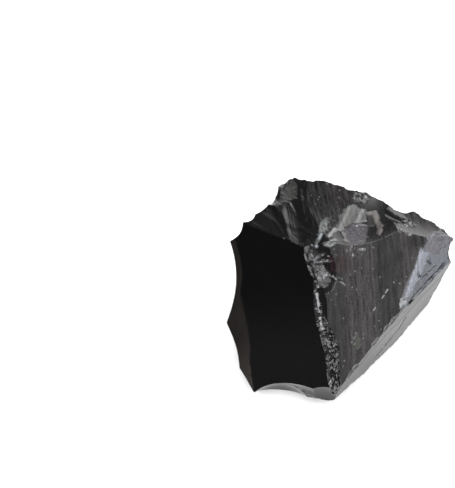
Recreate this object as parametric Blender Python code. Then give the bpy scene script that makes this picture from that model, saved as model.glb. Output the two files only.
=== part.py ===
"""A chunk of raw obsidian, broken by hand into a wedge of glassy fracture faces.

The chunk is one solid. It is worked the way the real one was: a block is cut back by fracture
surfaces one after another, and the surface that bites deepest wins. Each fracture is a shallow
bowl with ripples that spread from the point where the blow fell.
Lengths are in millimetres. x runs to the right, y to the back and z up from the flat base.
"""

import math

import bmesh
import bpy
import numpy as np

MM = 0.001
CORE = np.array([-1.0, 1.0, 14.0])  # every point of the surface is seen from here
ROUGH_OUT = (1.0, 1.0, 0.62)  # proportions of the ball that the faces are cut on
BALL_SUBDIVISIONS = 7
SOLID_TRIANGLES = 8600
RIDGE_ANGLE = 22.0
HALVINGS = 8
NO_HIT = 1.0e4

# Corners of the chunk. The upper faces meet in the apex and along the crest on both sides of it.
APEX = (-10.3, 4.2, 37.0)
TOE = (-2.4, -30.3, 11.8)
TOE_FOOT = (-2.3, -31.0, 8.5)
LEFT_TOE = (-25.0, -28.3, 8.0)
LEFT_LOW = (-29.1, -21.9, 10.5)
LEFT_RIM = (-32.0, -11.9, 16.8)
EAR = (-31.5, 7.9, 34.3)
EAR_TOP = (-28.0, 11.3, 37.6)
EAR_BACK = (-24.8, 14.9, 36.2)
SHOULDER_LOW = (-21.0, 19.1, 32.5)
SHOULDER = (-18.2, 27.0, 28.5)
PEAK = (-14.2, 30.8, 24.0)
CROWN_LEFT = (-5.4, 30.2, 22.8)
CROWN_MIDDLE = (0.4, 28.2, 22.5)
CROWN_RIGHT = (7.3, 26.1, 22.8)
CROWN_END = (11.0, 22.8, 22.8)
DIP = (14.7, 20.1, 22.6)
BROW_START = (19.6, 21.5, 21.6)
BROW = (24.0, 19.1, 21.2)
BROW_END = (29.3, 16.1, 21.0)
TIP = (31.2, 13.3, 20.6)
TIP_LOW = (31.2, 13.1, 19.9)
RIDGE_MIDDLE = (17.5, -5.9, 17.5)
RIDGE_LOW = (-0.5, -27.7, 12.3)
FOOT_BACK = (31.3, 7.5, 16.0)
FOOT_RIGHT = (24.5, -1.2, 4.0)
FOOT_MIDDLE = (15.6, -10.7, 1.0)
FOOT_FRONT = (6.1, -20.1, 2.0)
FOOT_TOE = (-1.4, -28.4, 7.0)


def unit(vector):
    vector = np.asarray(vector, float)
    return vector / np.linalg.norm(vector)


class Fracture:
    """One fracture surface: a bowl of the given depth whose rim is an ellipse round its middle."""

    def __init__(self, middle, facing, along, half_length, half_width, depth, wander=0.3, ripple=None):
        self.middle = np.asarray(middle, float)
        self.normal = unit(facing)
        self.across = unit(np.cross(self.normal, along))
        self.along = np.cross(self.across, self.normal)
        self.half_length = half_length
        self.half_width = half_width
        self.depth = depth
        self.wander = wander
        self.ripple = ripple
        self.seed = int(abs(self.middle @ (7.0, 13.0, 29.0)) * 10) % 997

    def detail(self, u, v):
        """Height of the waves that make the bowl less than perfect."""
        height = self.wander * waves(u, v, 17.0, self.seed)
        if self.ripple:
            strike_u, strike_v, size, pitch = self.ripple
            spread = np.hypot(u - strike_u, v - strike_v)
            fade = np.clip(spread / (4 * pitch), 0, 1)
            height += size * fade * np.sin(2 * math.pi * spread / pitch + 1.5 * waves(u, v, 25.0, self.seed))
        return height

    def reach(self, rays):
        """Distance from CORE, along each ray, to this surface."""
        start = CORE - self.middle
        u0, v0, w0 = start @ self.along, start @ self.across, start @ self.normal
        du, dv, dw = rays @ self.along, rays @ self.across, rays @ self.normal
        ku, kv = self.depth / self.half_length**2, self.depth / self.half_width**2
        a = ku * du**2 + kv * dv**2
        b = 2 * (ku * u0 * du + kv * v0 * dv) - dw
        c = ku * u0**2 + kv * v0**2 - self.depth - w0
        inside = b**2 - 4 * a * c
        root = np.sqrt(np.maximum(inside, 0))
        with np.errstate(divide="ignore", invalid="ignore"):
            distance = 2 * c / (-b + root)
        hit = (inside >= 0) & (distance > 0) & (dw > 0.02)
        distance = np.where(hit, distance, NO_HIT)
        near = distance < 120
        t = distance[near]
        bump = self.detail(u0 + t * du[near], v0 + t * dv[near])
        distance[near] = t + bump / np.maximum(dw[near], 0.25)
        return distance


def waves(u, v, length, seed):
    """Smooth irregular waves of about this length, between -1 and 1."""
    random = np.random.default_rng(seed)
    total = 0
    for _ in range(6):
        heading, phase = random.uniform(0, 2 * math.pi, 2)
        k = 2 * math.pi / (length * random.uniform(0.7, 1.5))
        total = total + np.sin(k * (u * math.cos(heading) + v * math.sin(heading)) + phase)
    return total / 6


def face(a, b, c, depth, wander=0.3, ripple=None):
    """A fracture through three corners."""
    a, b, c = (np.asarray(p, float) for p in (a, b, c))
    middle = (a + b + c) / 3
    normal = np.cross(b - a, c - a)
    if normal @ (middle - CORE) < 0:
        normal = -normal
    size = max(np.linalg.norm(p - middle) for p in (a, b, c))
    return Fracture(middle, normal, b - a, size, size, depth, wander, ripple)


def wall(a, b, lean, depth, drop=14.0, wander=0.3, ripple=None):
    """A scallop down the side below the rim from a to b. Lean is in degrees, outward at the foot."""
    a, b = np.asarray(a, float), np.asarray(b, float)
    outward = unit(np.cross(b - a, (0, 0, 1)))
    if outward @ ((a + b) / 2 - CORE) < 0:
        outward = -outward
    upward = unit(np.cross(b - a, outward))
    if upward[2] < 0:
        upward = -upward
    facing = outward * math.cos(math.radians(lean)) + upward * math.sin(math.radians(lean))
    return Fracture((a + b) / 2, facing, b - a, np.linalg.norm(b - a) / 2, drop, depth, wander, ripple)


def scoop(middle, facing, along, length, width, depth, wander=0.1, ripple=None):
    """A flake scar of this length and width, sunk into the surface at its middle."""
    return Fracture(middle, facing, along, length / 2, width / 2, depth, wander, ripple)


TOP = {
    "dark_face": face(APEX, TOE, (-32.0, -11.8, 19.0), 0.2),
    "striated_face": face(APEX, TOE, RIDGE_MIDDLE, 0.3),
    "left_bevel": face((-27.5, -6.6, 24.2), (-25.4, -26.0, 9.5), LEFT_RIM, 0.1),
    "crown_face": scoop((-2.0, 19.5, 28.1), (0.118, 0.473, 0.873), (1, 0, 0), 22, 30, 0.8),
    "brow_face": scoop((21.0, 16.5, 24.2), (0.376, 0.456, 0.807), (1, 0, 0), 18, 10, 0.5),
    "pale_face": face((21.3, 8.1, 24.5), (16.8, -1.5, 20.6), (25.8, 3.3, 16.4), 0.2),
}
SCARS = {
    "shoulder_strip": scoop((-21.0, 11.5, 36.8), (0.2, 0.42, 0.885), (0.8, -0.6, 0), 18, 12, 0.15),
    "shoulder_scar": scoop((-15.0, 14.0, 34.1), (0.1, 0.4, 0.91), (-0.4, 0.83, -0.35), 26, 6.6, 0.3),
    "fan_scar": scoop((-14.5, 19.0, 30.3), (0.32, 0.45, 0.83), (-0.1, 0.87, -0.5), 26, 5.5, 0.18),
    "smoky_scar": scoop((4.6, 14.9, 28.7), (0.12, 0.42, 0.89), (0.1, 0.9, -0.42), 20, 13.5, 1.1),
    "brow_chip": scoop((18.0, 17.3, 25.0), (0.1, 0.4, 1), (1, -0.3, -0.3), 8, 4, 0.6),
    "apex_chip": scoop((-8.0, 1.0, 33.0), (0.35, -0.38, 0.9), (0.3, -1, -0.6), 9, 5, 0.45),
    "struck_patch": scoop((-5.4, -1.5, 30.5), (0.34, -0.46, 0.82), (0.4, -1, -0.5), 8, 6, 0.3),
    "crest_flake_a": scoop((-7.4, -8.6, 26.8), (0.25, -0.55, 0.8), (0.15, -1, -0.8), 12, 3.6, 0.35),
    "crest_flake_b": scoop((-5.6, -15.4, 21.9), (0.3, -0.55, 0.8), (0.15, -1, -0.8), 12, 4.0, 0.35),
    "crest_flake_c": scoop((-3.8, -22.8, 16.4), (0.25, -0.55, 0.8), (0.15, -1, -0.8), 12, 3.6, 0.35),
    "tip_scar": scoop((26.0, 12.0, 24.4), (0.62, -0.45, 0.66), (0.3, 1, 0), 9, 7, 0.5),
    "toe_scallop_left": scoop((-18.4, -27.3, 8.6), (0, -0.9, 0.43), (1, 0, 0), 9.5, 5, 0.5),
    "toe_scallop_right": scoop((-7.6, -29.6, 9.6), (0, -0.87, 0.5), (1, 0, 0), 8, 8, 0.6),
}
SIDES = {
    "side_left": scoop((-32.3, 1.6, 24.0), (-1, 0, -0.08), (0, 1, 0), 21, 44, 2.6),
    "side_left_low": wall(LEFT_LOW, LEFT_RIM, -13, 0.4),
    "side_left_toe": wall(LEFT_TOE, LEFT_LOW, -15, 0.1),
    "side_ear": wall(EAR, EAR_TOP, -8, 0.7),
    "side_shoulder_low": wall(EAR_TOP, EAR_BACK, -8, 0.8),
    "side_shoulder_middle": wall(EAR_BACK, SHOULDER_LOW, -8, 0.6),
    "side_shoulder": wall(SHOULDER_LOW, SHOULDER, -6, 0.8),
    "side_peak": wall(SHOULDER, PEAK, -10, 0.2),
    "side_crown": wall(PEAK, CROWN_LEFT, -14, 0.4),
    "side_crown_end": wall(CROWN_LEFT, CROWN_MIDDLE, -18, 0.1),
    "side_back": wall(CROWN_MIDDLE, CROWN_RIGHT, -20, 0.1),
    "side_back_low": wall(CROWN_RIGHT, CROWN_END, -15, 0.3),
    "side_dip": wall(CROWN_END, DIP, -15, 0.6),
    "side_brow": wall(DIP, BROW_START, -18, 1.0),
    "side_brow_end": wall(BROW_START, BROW, -18, 0.1),
    "side_brow_tip": wall(BROW, BROW_END, -14, 0.1),
    "side_tip": wall(BROW_END, TIP, -12, 0.1),
    "side_notch": wall(TIP_LOW, FOOT_BACK, -6, 1.3, drop=9),
    "right_wall": scoop((19.2, -6.35, 9.8), (0.732, -0.682, 0.22), (0.659, 0.752, 0), 30, 40, 0.1),
    "foot_back": wall(FOOT_BACK, FOOT_RIGHT, -20, 0.1),
    "foot_right": wall(FOOT_RIGHT, FOOT_MIDDLE, -22, 0.1),
    "foot_middle": wall(FOOT_MIDDLE, FOOT_FRONT, -22, 0.1),
    "foot_front": wall(FOOT_FRONT, FOOT_TOE, -25, 0.1),
    "side_toe": wall(TOE_FOOT, LEFT_TOE, -30, 0.1, drop=8),
    "toe_notch": scoop((-17.3, -27.1, 8.0), (-0.1, -1, -0.25), (1, 0, 0), 11.0, 14, 1.8),
    "base": Fracture((0, 0, 0), (0, 0, -1), (1, 0, 0), 30, 30, 0.0, wander=0.0),
    "back_scar": scoop((5.0, 23.6, 7.0), (0.15, 1, -0.28), (1, 0, 0), 26, 19, 1.5, ripple=(-8, -12, 0.2, 4.0)),
    "back_chip": scoop((-13.0, 26.0, 7.0), (-0.35, 1, -0.4), (1, 0, 0.3), 12, 13, 1.0),
    "left_scar": scoop((-29.8, -2.0, 6.0), (-1, 0.1, -0.3), (0, 1, 0), 20, 13, 1.3, ripple=(6, 8, 0.15, 3.5)),
    "left_chip": scoop((-26.5, 14.5, 12.0), (-1, 0.9, -0.2), (1, 1, 0.2), 11, 18, 1.0),
    "tip_under": scoop((26.5, 10.5, 6.0), (1, 0.3, -0.5), (0.3, -1, 0), 12, 10, 1.1),
    "base_chip_front": scoop((-9.0, -24.5, 1.2), (0.1, -1, -0.8), (1, 0, 0), 11, 5, 0.8),
    "base_chip_right": scoop((21.5, -3.5, 0.8), (0.8, -0.6, -0.6), (0.65, 0.75, 0), 9, 4, 0.6),
    "base_chip_left": scoop((-27.5, -13.5, 1.5), (-1, -0.3, -0.7), (0.2, -1, 0), 8, 5, 0.7),
}
FRACTURES = {**TOP, **SCARS, **SIDES}


def icosphere_rays():
    """The ball as a mesh in bmesh, and its directions."""
    mesh = bmesh.new()
    bmesh.ops.create_icosphere(mesh, subdivisions=BALL_SUBDIVISIONS, radius=1.0)
    rays = np.array([v.co[:] for v in mesh.verts]) * ROUGH_OUT
    return mesh, rays / np.linalg.norm(rays, axis=1, keepdims=True)


def cut_back(rays):
    """Distance from CORE to the chunk's surface along each ray, and the fracture met there."""
    distance = np.full(len(rays), NO_HIT)
    met = np.zeros(len(rays), int)
    for index, fracture in enumerate(FRACTURES.values()):
        here = fracture.reach(rays)
        nearer = here < distance
        distance[nearer] = here[nearer]
        met[nearer] = index
    return distance, met


def sharpen(rays, edges):
    """Moves the rays next to a ridge onto it, so that the ridge is an edge of the mesh."""
    _, met = cut_back(rays)
    a, b = edges[met[edges[:, 0]] != met[edges[:, 1]]].T
    near, far = rays[a], rays[b]
    for _ in range(HALVINGS):
        middle = (near + far) / 2
        _, met_there = cut_back(middle)
        same = met_there == met[a]
        near = np.where(same[:, None], middle, near)
        far = np.where(same[:, None], far, middle)
    from_a = np.linalg.norm(near - rays[a], axis=1)
    from_b = np.linalg.norm(near - rays[b], axis=1)
    mover = np.where(from_a < from_b, a, b)
    nearest_last = np.argsort(-np.minimum(from_a, from_b))
    moved = rays.copy()
    moved[mover[nearest_last]] = near[nearest_last]
    return moved / np.linalg.norm(moved, axis=1, keepdims=True)


def obsidian():
    material = bpy.data.materials.new("obsidian")
    material.use_nodes = True
    shader = material.node_tree.nodes["Principled BSDF"]
    shader.inputs["Base Color"].default_value = (0.012, 0.011, 0.011, 1.0)
    shader.inputs["Roughness"].default_value = 0.12
    shader.inputs["Metallic"].default_value = 0.0
    return material


def chunk():
    ball, rays = icosphere_rays()
    edges = np.array([[v.index for v in e.verts] for e in ball.edges])
    for _ in range(3):
        rays = sharpen(rays, edges)
    distance, _ = cut_back(rays)
    points = (CORE + rays * distance[:, None]) * MM
    lowest, highest = points.min(axis=0), points.max(axis=0)
    points -= ((lowest[0] + highest[0]) / 2, (lowest[1] + highest[1]) / 2, lowest[2])
    for vertex, point in zip(ball.verts, points):
        vertex.co = point
    bmesh.ops.recalc_face_normals(ball, faces=ball.faces)
    mesh = bpy.data.meshes.new("obsidian_chunk")
    ball.to_mesh(mesh)
    ball.free()
    made = bpy.data.objects.new("obsidian_chunk", mesh)
    mesh.materials.append(obsidian())
    mesh.shade_smooth()
    mesh.set_sharp_from_angle(angle=math.radians(RIDGE_ANGLE))
    thin = made.modifiers.new("fewer_triangles", "DECIMATE")
    thin.ratio = SOLID_TRIANGLES / len(mesh.polygons)
    return made


def main():
    for old in list(bpy.data.objects):
        bpy.data.objects.remove(old)
    parts = bpy.data.collections.new("obsidian_chunk")
    bpy.context.scene.collection.children.link(parts)
    parts.objects.link(chunk())


main()
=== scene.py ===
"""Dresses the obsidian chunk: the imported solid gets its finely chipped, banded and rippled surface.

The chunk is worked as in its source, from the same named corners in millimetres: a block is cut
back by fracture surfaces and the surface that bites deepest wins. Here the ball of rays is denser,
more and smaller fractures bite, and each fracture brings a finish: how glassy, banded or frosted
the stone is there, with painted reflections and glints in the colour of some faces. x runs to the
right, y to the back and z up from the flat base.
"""

import math

import bmesh
import bpy
import numpy as np
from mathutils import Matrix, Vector

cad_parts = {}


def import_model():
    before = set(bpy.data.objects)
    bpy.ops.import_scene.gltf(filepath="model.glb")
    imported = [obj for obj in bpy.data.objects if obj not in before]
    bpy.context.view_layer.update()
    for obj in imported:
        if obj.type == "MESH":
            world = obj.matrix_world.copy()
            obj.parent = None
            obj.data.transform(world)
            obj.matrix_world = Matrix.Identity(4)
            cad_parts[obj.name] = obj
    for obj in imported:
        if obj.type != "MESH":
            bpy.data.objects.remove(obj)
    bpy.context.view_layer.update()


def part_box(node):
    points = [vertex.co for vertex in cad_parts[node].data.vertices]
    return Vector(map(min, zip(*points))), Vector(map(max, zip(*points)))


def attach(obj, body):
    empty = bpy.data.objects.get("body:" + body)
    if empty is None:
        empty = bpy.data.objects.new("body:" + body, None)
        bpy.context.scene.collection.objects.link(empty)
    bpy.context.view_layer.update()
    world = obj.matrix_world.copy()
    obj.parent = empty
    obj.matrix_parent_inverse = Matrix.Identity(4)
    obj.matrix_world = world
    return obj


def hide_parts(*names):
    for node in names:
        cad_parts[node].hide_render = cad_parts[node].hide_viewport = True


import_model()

MM = 0.001
CORE = np.array([-1.0, 1.0, 14.0])  # every point of the surface is seen from here
ROUGH_OUT = (1.0, 1.0, 0.62)  # proportions of the ball that the faces are cut on
BALL_SUBDIVISIONS = 8
MOST_TRIANGLES = 188000
RIDGE_ANGLE = 24.0
HALVINGS = 8
SHARPENINGS = 3
EDGE_CHIPS = 320
CHIP_SEED = 3
CHIP_TRIES = 60000
CHIP_STEP = 0.02  # how far apart the two rays are that look for a ridge
BLUNT_RIDGE = 0.87  # cosine of the turn at a ridge that is too blunt to chip
CHIP_REACH = 2.5  # half lengths round its middle within which a small scar can bite
NO_HIT = 1.0e4
FAR_OFF = 120.0  # no part of the chunk is this far from CORE, in millimetres
GRAZING = 0.02  # least cosine at which a ray still meets a fracture
LEAST_SLANT = 0.25  # keeps the relief of a slanting face in bounds
LEAST_FACING = 0.4
BASE_MARGIN = 0.6  # height over which the relief fades out towards the base

# Corners of the chunk, as in its source.
APEX = (-10.3, 4.2, 37.0)
TOE = (-2.4, -30.3, 11.8)
TOE_FOOT = (-2.3, -31.0, 8.5)
LEFT_TOE = (-25.0, -28.3, 8.0)
LEFT_LOW = (-29.1, -21.9, 10.5)
LEFT_RIM = (-32.0, -11.9, 16.8)
EAR = (-31.5, 7.9, 34.3)
EAR_TOP = (-28.0, 11.3, 37.6)
EAR_BACK = (-24.8, 14.9, 36.2)
SHOULDER_LOW = (-21.0, 19.1, 32.5)
SHOULDER = (-18.2, 27.0, 28.5)
PEAK = (-14.2, 30.8, 24.0)
CROWN_LEFT = (-5.4, 30.2, 22.8)
CROWN_MIDDLE = (0.4, 28.2, 22.5)
CROWN_RIGHT = (7.3, 26.1, 22.8)
CROWN_END = (11.0, 22.8, 22.8)
DIP = (14.7, 20.1, 22.6)
BROW_START = (19.6, 21.5, 21.6)
BROW = (24.0, 19.1, 21.2)
BROW_END = (29.3, 16.1, 21.0)
TIP = (31.2, 13.3, 20.6)
TIP_LOW = (31.2, 13.1, 19.9)
RIDGE_MIDDLE = (17.5, -5.9, 17.5)
FOOT_BACK = (31.3, 7.5, 16.0)
FOOT_RIGHT = (24.5, -1.2, 4.0)
FOOT_MIDDLE = (15.6, -10.7, 1.0)
FOOT_FRONT = (6.1, -20.1, 2.0)
FOOT_TOE = (-1.4, -28.4, 7.0)

# Linear colours of the stone in its different states.
GLASS = (0.0008, 0.0008, 0.0010)
SMOKY = (0.004, 0.0038, 0.0042)
BANDED = (0.0160, 0.0140, 0.0147)
REDDISH = (0.0145, 0.0070, 0.0082)
GREY = (0.055, 0.054, 0.055)
# blue grey of the stone, lightened by a painted reflection of the low light on the right
BLUE_GREY_AND_SHEEN = (0.055, 0.060, 0.074)
# white of frosted crushed glass, also used for painted glints
FROST_AND_GLINT_WHITE = (0.22, 0.225, 0.235)
FAN = (0.0025, 0.0024, 0.0025)
# painted reflection: pale grey where the glassy scars shine
REFLECTION_PALE = (0.125, 0.128, 0.124)
# painted reflection, pale blue
REFLECTION_PALE_BLUE = (0.19, 0.20, 0.24)
# painted sheen, brownish
SHEEN_WARM = (0.085, 0.077, 0.071)
MAUVE = (0.036, 0.033, 0.038)
MAUVE_PALE = (0.058, 0.055, 0.065)
OLIVE = (0.030, 0.031, 0.026)
OLIVE_DARK = (0.006, 0.0063, 0.0055)
GREENISH = (0.072, 0.082, 0.079)
UMBER = (0.0065, 0.0052, 0.0045)
UMBER_PALE = (0.022, 0.019, 0.017)
BANDED_DARK = (0.0115, 0.0102, 0.0103)
GLASS_LIGHTER = (0.0032, 0.0031, 0.0034)


def unit(vector):
    vector = np.asarray(vector, float)
    return vector / np.linalg.norm(vector)


class Fracture:
    """One fracture surface: a bowl of the given depth whose rim is an ellipse round its middle."""

    def __init__(self, middle, facing, along, half_length, half_width, depth, wander=0.3, ripple=None):
        self.middle = np.asarray(middle, float)
        self.normal = unit(facing)
        self.across = unit(np.cross(self.normal, along))
        self.along = np.cross(self.across, self.normal)
        self.half_length = half_length
        self.half_width = half_width
        self.depth = depth
        self.wander = wander
        self.ripple = ripple
        self.seed = int(abs(self.middle @ (7.0, 13.0, 29.0)) * 10) % 997
        self.small = False

    def detail(self, u, v):
        """Height of the waves that make the bowl less than perfect."""
        height = self.wander * waves(u, v, 17.0, self.seed)
        if self.ripple:
            strike_u, strike_v, size, pitch = self.ripple
            spread = np.hypot(u - strike_u, v - strike_v)
            fade = np.clip(spread / (4 * pitch), 0, 1)
            phase = 2 * math.pi * spread / pitch + 1.5 * waves(u, v, 25.0, self.seed)
            height += size * fade * np.sin(phase)
        return height

    def reach(self, rays):
        """Distance from CORE, along each ray, to this surface."""
        start = CORE - self.middle
        u0, v0, w0 = start @ self.along, start @ self.across, start @ self.normal
        du, dv, dw = rays @ self.along, rays @ self.across, rays @ self.normal
        ku, kv = self.depth / self.half_length**2, self.depth / self.half_width**2
        a = ku * du**2 + kv * dv**2
        b = 2 * (ku * u0 * du + kv * v0 * dv) - dw
        c = ku * u0**2 + kv * v0**2 - self.depth - w0
        inside = b**2 - 4 * a * c
        root = np.sqrt(np.maximum(inside, 0))
        with np.errstate(divide="ignore", invalid="ignore"):
            distance = 2 * c / (-b + root)
        hit = (inside >= 0) & (distance > 0) & (dw > GRAZING)
        distance = np.where(hit, distance, NO_HIT)
        near = distance < FAR_OFF
        t = distance[near]
        bump = self.detail(u0 + t * du[near], v0 + t * dv[near])
        distance[near] = t + bump / np.maximum(dw[near], LEAST_SLANT)
        return distance

    def slope(self, points):
        """Outward normal of the bowl at each point."""
        offset = points - self.middle
        u, v = offset @ self.along, offset @ self.across
        normal = (
            self.normal
            - 2 * self.depth / self.half_length**2 * u[:, None] * self.along
            - 2 * self.depth / self.half_width**2 * v[:, None] * self.across
        )
        return normal / np.linalg.norm(normal, axis=1, keepdims=True)


def waves(u, v, length, seed):
    """Smooth irregular waves of about this length, between -1 and 1."""
    random = np.random.default_rng(seed)
    total = 0
    for _ in range(6):
        heading, phase = random.uniform(0, 2 * math.pi, 2)
        k = 2 * math.pi / (length * random.uniform(0.7, 1.5))
        total = total + np.sin(k * (u * math.cos(heading) + v * math.sin(heading)) + phase)
    return total / 6


def face(a, b, c, depth, wander=0.3, ripple=None):
    """A fracture through three corners."""
    a, b, c = (np.asarray(p, float) for p in (a, b, c))
    middle = (a + b + c) / 3
    normal = np.cross(b - a, c - a)
    if normal @ (middle - CORE) < 0:
        normal = -normal
    size = max(np.linalg.norm(p - middle) for p in (a, b, c))
    return Fracture(middle, normal, b - a, size, size, depth, wander, ripple)


def wall(a, b, lean, depth, drop=14.0, wander=0.3, ripple=None):
    """A scallop down the side below the rim from a to b. Lean is in degrees, outward at the foot."""
    a, b = np.asarray(a, float), np.asarray(b, float)
    outward = unit(np.cross(b - a, (0, 0, 1)))
    if outward @ ((a + b) / 2 - CORE) < 0:
        outward = -outward
    upward = unit(np.cross(b - a, outward))
    if upward[2] < 0:
        upward = -upward
    facing = outward * math.cos(math.radians(lean)) + upward * math.sin(math.radians(lean))
    return Fracture((a + b) / 2, facing, b - a, np.linalg.norm(b - a) / 2, drop, depth, wander, ripple)


def scoop(middle, facing, along, length, width, depth, wander=0.1, ripple=None):
    """A flake scar of this length and width, sunk into the surface at its middle."""
    return Fracture(middle, facing, along, length / 2, width / 2, depth, wander, ripple)


TOP = {
    "dark_face": face(APEX, TOE, (-32.0, -11.8, 19.0), 0.2),
    "striated_face": face(APEX, TOE, RIDGE_MIDDLE, 0.3),
    "left_bevel": face((-27.5, -6.6, 24.2), (-25.4, -26.0, 9.5), LEFT_RIM, 0.1),
    "crown_face": scoop((-2.0, 19.5, 28.1), (0.118, 0.473, 0.873), (1, 0, 0), 22, 30, 0.8),
    "brow_face": scoop((21.0, 16.5, 24.2), (0.376, 0.456, 0.807), (1, 0, 0), 18, 10, 0.5),
    "pale_face": face((21.3, 8.1, 24.5), (16.8, -1.5, 20.6), (25.8, 3.3, 16.4), 0.2),
}
SCARS = {
    "shoulder_strip": scoop((-21.0, 11.5, 36.8), (0.2, 0.42, 0.885), (0.8, -0.6, 0), 18, 12, 0.15),
    "shoulder_scar": scoop((-15.0, 14.0, 34.1), (0.1, 0.4, 0.91), (-0.4, 0.83, -0.35), 26, 6.6, 0.3),
    "fan_scar": scoop((-14.5, 19.0, 30.3), (0.32, 0.45, 0.83), (-0.1, 0.87, -0.5), 26, 5.5, 0.18),
    "smoky_scar": scoop((4.6, 14.9, 28.7), (0.12, 0.42, 0.89), (0.1, 0.9, -0.42), 20, 13.5, 1.1),
    "brow_chip": scoop((18.0, 17.3, 25.0), (0.1, 0.4, 1), (1, -0.3, -0.3), 8, 4, 0.6),
    "apex_chip": scoop((-8.0, 1.0, 33.0), (0.35, -0.38, 0.9), (0.3, -1, -0.6), 9, 5, 0.45),
    "struck_patch": scoop((-5.4, -1.5, 30.5), (0.34, -0.46, 0.82), (0.4, -1, -0.5), 8, 6, 0.3),
    "crest_flake_a": scoop((-7.4, -8.6, 26.8), (0.25, -0.55, 0.8), (0.15, -1, -0.8), 12, 3.6, 0.35),
    "crest_flake_b": scoop((-5.6, -15.4, 21.9), (0.3, -0.55, 0.8), (0.15, -1, -0.8), 12, 4.0, 0.35),
    "crest_flake_c": scoop((-3.8, -22.8, 16.4), (0.25, -0.55, 0.8), (0.15, -1, -0.8), 12, 3.6, 0.35),
    "tip_scar": scoop((26.0, 12.0, 24.4), (0.62, -0.45, 0.66), (0.3, 1, 0), 9, 7, 0.5),
    "toe_scallop_left": scoop((-18.4, -27.3, 8.6), (0, -0.9, 0.43), (1, 0, 0), 9.5, 5, 0.5),
    "toe_scallop_right": scoop((-7.6, -29.6, 9.6), (0, -0.87, 0.5), (1, 0, 0), 8, 8, 0.6),
}
SIDES = {
    "side_left": scoop((-32.3, 1.6, 24.0), (-1, 0, -0.08), (0, 1, 0), 21, 44, 2.6),
    "side_left_low": wall(LEFT_LOW, LEFT_RIM, -13, 0.4),
    "side_left_toe": wall(LEFT_TOE, LEFT_LOW, -15, 0.1),
    "side_ear": wall(EAR, EAR_TOP, -8, 0.7),
    "side_shoulder_low": wall(EAR_TOP, EAR_BACK, -8, 0.8),
    "side_shoulder_middle": wall(EAR_BACK, SHOULDER_LOW, -8, 0.6),
    "side_shoulder": wall(SHOULDER_LOW, SHOULDER, -6, 0.8),
    "side_peak": wall(SHOULDER, PEAK, -10, 0.2),
    "side_crown": wall(PEAK, CROWN_LEFT, -14, 0.4),
    "side_crown_end": wall(CROWN_LEFT, CROWN_MIDDLE, -18, 0.1),
    "side_back": wall(CROWN_MIDDLE, CROWN_RIGHT, -20, 0.1),
    "side_back_low": wall(CROWN_RIGHT, CROWN_END, -15, 0.3),
    "side_dip": wall(CROWN_END, DIP, -15, 0.6),
    "side_brow": wall(DIP, BROW_START, -18, 1.0),
    "side_brow_end": wall(BROW_START, BROW, -18, 0.1),
    "side_brow_tip": wall(BROW, BROW_END, -14, 0.1),
    "side_tip": wall(BROW_END, TIP, -12, 0.1),
    "side_notch": wall(TIP_LOW, FOOT_BACK, -6, 1.3, drop=9),
    "right_wall": scoop((19.2, -6.35, 9.8), (0.732, -0.682, 0.22), (0.659, 0.752, 0), 30, 40, 0.1),
    "foot_back": wall(FOOT_BACK, FOOT_RIGHT, -20, 0.1),
    "foot_right": wall(FOOT_RIGHT, FOOT_MIDDLE, -22, 0.1),
    "foot_middle": wall(FOOT_MIDDLE, FOOT_FRONT, -22, 0.1),
    "foot_front": wall(FOOT_FRONT, FOOT_TOE, -25, 0.1),
    "side_toe": wall(TOE_FOOT, LEFT_TOE, -30, 0.1, drop=8),
    "toe_notch": scoop((-17.3, -27.1, 8.0), (-0.1, -1, -0.25), (1, 0, 0), 11.0, 14, 1.8),
    "base": Fracture((0, 0, 0), (0, 0, -1), (1, 0, 0), 30, 30, 0.0, wander=0.0),
    "back_scar": scoop(
        (5.0, 23.6, 7.0), (0.15, 1, -0.28), (1, 0, 0), 26, 19, 1.5, ripple=(-8, -12, 0.2, 4.0)
    ),
    "back_chip": scoop((-13.0, 26.0, 7.0), (-0.35, 1, -0.4), (1, 0, 0.3), 12, 13, 1.0),
    "left_scar": scoop((-29.8, -2.0, 6.0), (-1, 0.1, -0.3), (0, 1, 0), 20, 13, 1.3, ripple=(6, 8, 0.15, 3.5)),
    "left_chip": scoop((-26.5, 14.5, 12.0), (-1, 0.9, -0.2), (1, 1, 0.2), 11, 18, 1.0),
    "tip_under": scoop((26.5, 10.5, 6.0), (1, 0.3, -0.5), (0.3, -1, 0), 12, 10, 1.1),
    "base_chip_front": scoop((-9.0, -24.5, 1.2), (0.1, -1, -0.8), (1, 0, 0), 11, 5, 0.8),
    "base_chip_right": scoop((21.5, -3.5, 0.8), (0.8, -0.6, -0.6), (0.65, 0.75, 0), 9, 4, 0.6),
    "base_chip_left": scoop((-27.5, -13.5, 1.5), (-1, -0.3, -0.7), (0.2, -1, 0), 8, 5, 0.7),
}
FRACTURES = {**TOP, **SCARS, **SIDES}
NAMES = list(FRACTURES)

SMOOTH_EDGED = {"dark_face", "left_bevel", "shoulder_strip", "shoulder_scar", "smoky_scar"}
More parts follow.
